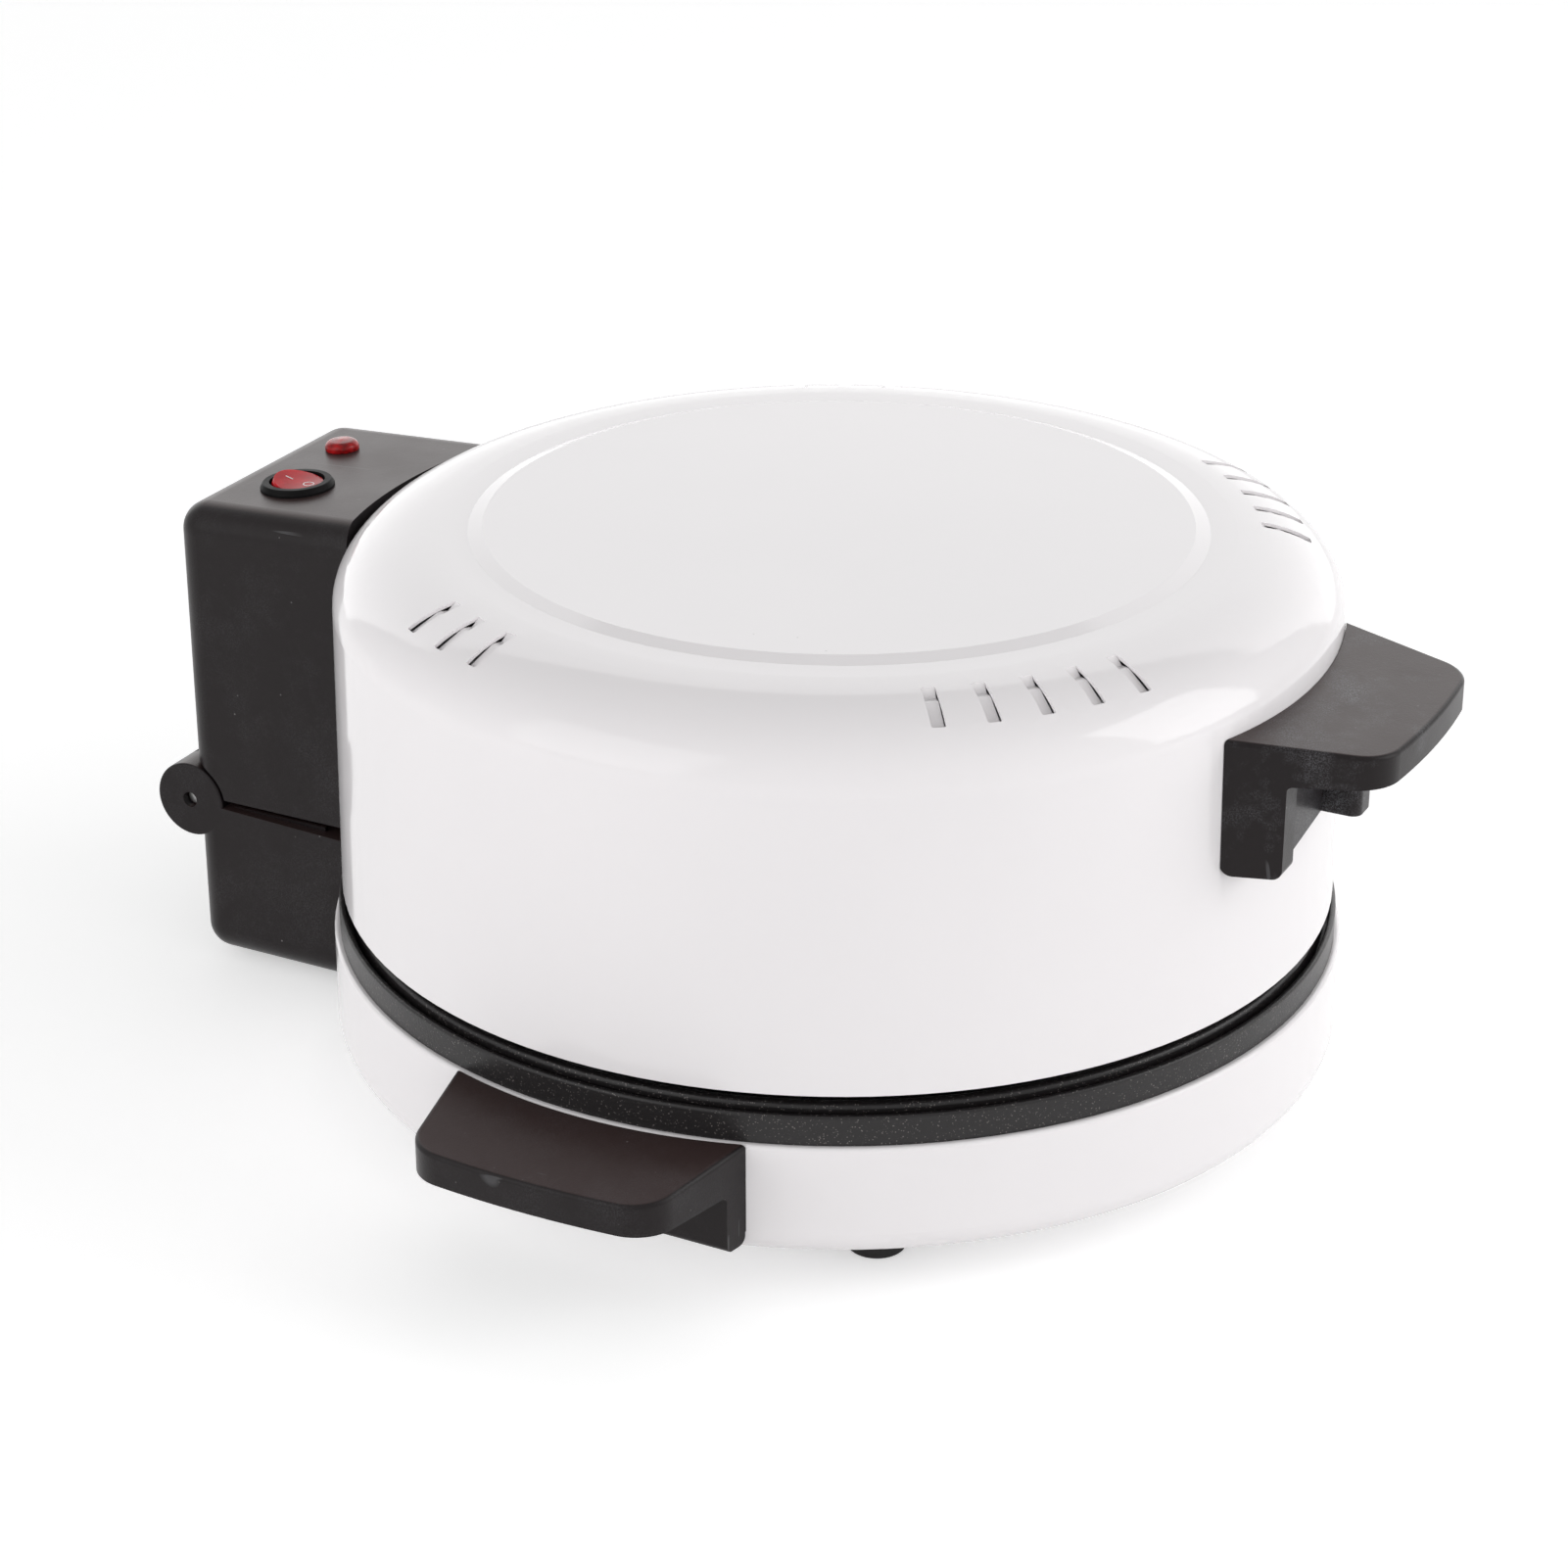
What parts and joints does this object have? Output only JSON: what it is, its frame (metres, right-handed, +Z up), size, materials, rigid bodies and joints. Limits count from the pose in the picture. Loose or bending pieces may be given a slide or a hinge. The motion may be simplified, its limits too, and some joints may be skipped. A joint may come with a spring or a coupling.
{
  "type": "electric pizza maker",
  "caption": "Round countertop pizza cooker: a non-stick plate with electric elements below and above it, and a domed lid on a rear hinge box with a rocker switch.",
  "frame": {"origin": "bottom centre of the whole product's bounding box, on the table between the feet", "axes": "+Z up, +Y towards the hinge boxes at the rear, so the lid handle is at -Y and the carrying handles are at -X and +X"},
  "size_m": [0.3724, 0.4013, 0.1702],
  "materials": {
    "white_enamel": "gloss stoved enamel on sheet steel",
    "nonstick_coat": "speckled black non-stick coat on cast aluminium",
    "element_sheath": "dull steel sheath",
    "bright_sheet": "bright aluminised sheet",
    "plain_steel": "zinc-plated steel",
    "thermostat_metal": "satin",
    "black_moulding": "matt black heat-resistant moulding, finely textured",
    "black_rubber": "matt",
    "switch_black": "gloss",
    "rocker_red": "gloss, translucent",
    "lens_red": "gloss, translucent",
    "lamp_holder": "gloss",
    "block_moulding": "matt",
    "terminal_brass": "bright",
    "lead_sleeve": "silicone sleeve"
  },
  "bodies": {
    "base": {"base_pan": "white_enamel", "cooking_plate": "nonstick_coat", "lower_heater": "element_sheath", "lower_heater_clamps": "plain_steel", "lower_reflector": "bright_sheet", "reflector_spacers": "plain_steel", "plate_screws": "plain_steel", "plate_thermostat": "thermostat_metal", "side_handle_left": "black_moulding", "side_handle_right": "black_moulding", "side_handle_screws": "plain_steel", "lower_hinge_box": "black_moulding", "lower_box_screws": "plain_steel", "hinge_pin": "plain_steel", "lid_bumpers": "black_rubber", "foot_front_left": "black_rubber", "foot_rear_left": "black_rubber", "foot_front_right": "black_rubber", "foot_rear_right": "black_rubber", "foot_screws": "plain_steel", "foot_nuts": "plain_steel", "terminal_block": "block_moulding", "terminal_screws": "terminal_brass", "base_leads": "lead_sleeve", "cord_gland": "black_rubber"},
    "lid": {"lid_shell": "white_enamel", "lid_liner": "bright_sheet", "liner_screws": "plain_steel", "upper_heater": "element_sheath", "upper_heater_brackets": "plain_steel", "lid_thermostat": "thermostat_metal", "upper_hinge_box": "black_moulding", "upper_box_screws": "plain_steel", "lid_handle": "black_moulding", "lid_handle_screws": "plain_steel", "switch_housing": "switch_black", "lamp_lens": "lens_red", "lamp_nut": "switch_black", "lamp_body": "lamp_holder", "lid_leads": "lead_sleeve"},
    "rocker": {"switch_rocker": "rocker_red"}
  },
  "joints": [
    {"name": "lid_hinge", "type": "hinge", "parent": "base", "child": "lid", "pos_m": [0, 0.18845, 0.0545], "axis": [-1, 0, 0], "range_deg": [0, 95]},
    {"name": "rocker_tilt", "type": "hinge", "parent": "lid", "child": "rocker", "pos_m": [-0.0165, 0.1609, 0.15377], "axis": [-1, 0, 0], "range_deg": [0, 22]}
  ]
}
